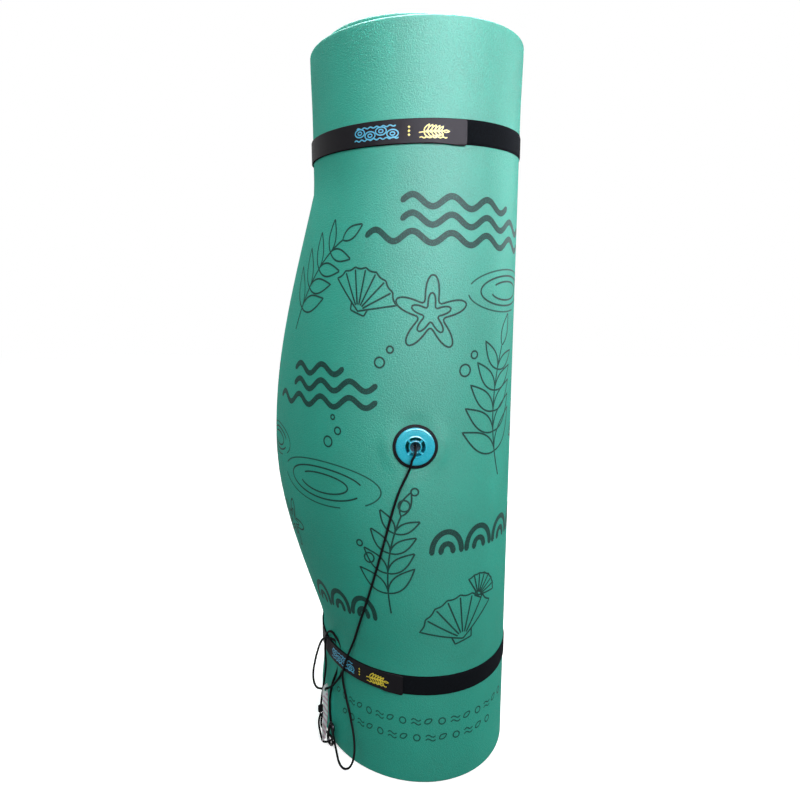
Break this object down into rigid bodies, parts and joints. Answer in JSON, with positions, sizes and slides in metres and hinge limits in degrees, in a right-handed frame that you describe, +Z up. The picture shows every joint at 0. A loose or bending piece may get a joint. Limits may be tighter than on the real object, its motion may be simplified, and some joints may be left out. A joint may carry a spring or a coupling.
{
  "type": "swim float mat",
  "caption": "Thick foam water mat stored as an upright roll, held by two hook-and-loop straps, with a tether grommet, a shock cord, a snap hook and a hanging tag.",
  "frame": {"origin": "Middle of the roll's footprint, on the surface that the roll stands on.", "axes": "+Z up along the roll, -Y towards the side with the strap ends and the grommet, +X to the right of a viewer facing that side."},
  "size_m": [0.6668, 0.5974, 1.86],
  "materials": {
    "foam": "closed cell polyethylene foam, mint green, fine granular skin",
    "net": "white nylon net bonded between the two foam plies",
    "loop_tape": "black loop tape, fuzzy",
    "hook_tab": "charcoal printed hook tab",
    "thread": "black bonded thread",
    "grommet": "cyan moulded nylon, glossy",
    "gasket": "black rubber",
    "steel": "stainless steel",
    "cord": "black braided polyester sheath over elastic",
    "anodised": "black anodised",
    "card": "thin laminated card, white"
  },
  "bodies": {
    "mat": {"foam_outer_ply": "foam", "reinforcing_net": "net", "foam_inner_ply": "foam", "top_strap_loop_band": "loop_tape", "top_strap_hook_tab": "hook_tab", "top_strap_seam_thread": "thread", "bottom_strap_loop_band": "loop_tape", "bottom_strap_hook_tab": "hook_tab", "bottom_strap_seam_thread": "thread", "grommet_body": "grommet", "front_gasket": "gasket", "back_gasket": "gasket", "back_nut": "grommet", "stopper_washer": "steel", "stopper_knot": "cord", "bungee_cord": "cord", "end_knot": "cord", "end_loop": "cord", "carabiner_body": "anodised", "gate_pin": "steel"},
    "top_pull": {"top_strap_pull_end": "hook_tab"},
    "bottom_pull": {"bottom_strap_pull_end": "hook_tab"},
    "gate": {"carabiner_gate": "anodised", "gate_spring": "steel"},
    "tag": {"tag_card": "card"}
  },
  "joints": [
    {"name": "top_strap_peel", "type": "hinge", "parent": "mat", "child": "top_pull", "pos_m": [0.0558, -0.27065, 1.6], "axis": [0, 0, -1], "range_deg": [0, 90]},
    {"name": "bottom_strap_peel", "type": "hinge", "parent": "mat", "child": "bottom_pull", "pos_m": [-0.0553, -0.22212, 0.28], "axis": [0, 0, -1], "range_deg": [0, 90]},
    {"name": "carabiner_gate", "type": "hinge", "parent": "mat", "child": "gate", "pos_m": [-0.14631, -0.15131, 0.02415], "axis": [-0.846, -0.5286, 0.0698], "range_deg": [0, 22], "stiffness_Nm_per_rad": 0.02, "springref_deg": -34.38},
    {"name": "tag_swing", "type": "hinge", "parent": "mat", "child": "tag", "pos_m": [-0.16917, -0.11638, 0.159], "axis": [-0.909, 0.414, -0.0477], "range_deg": [0, 20]}
  ]
}
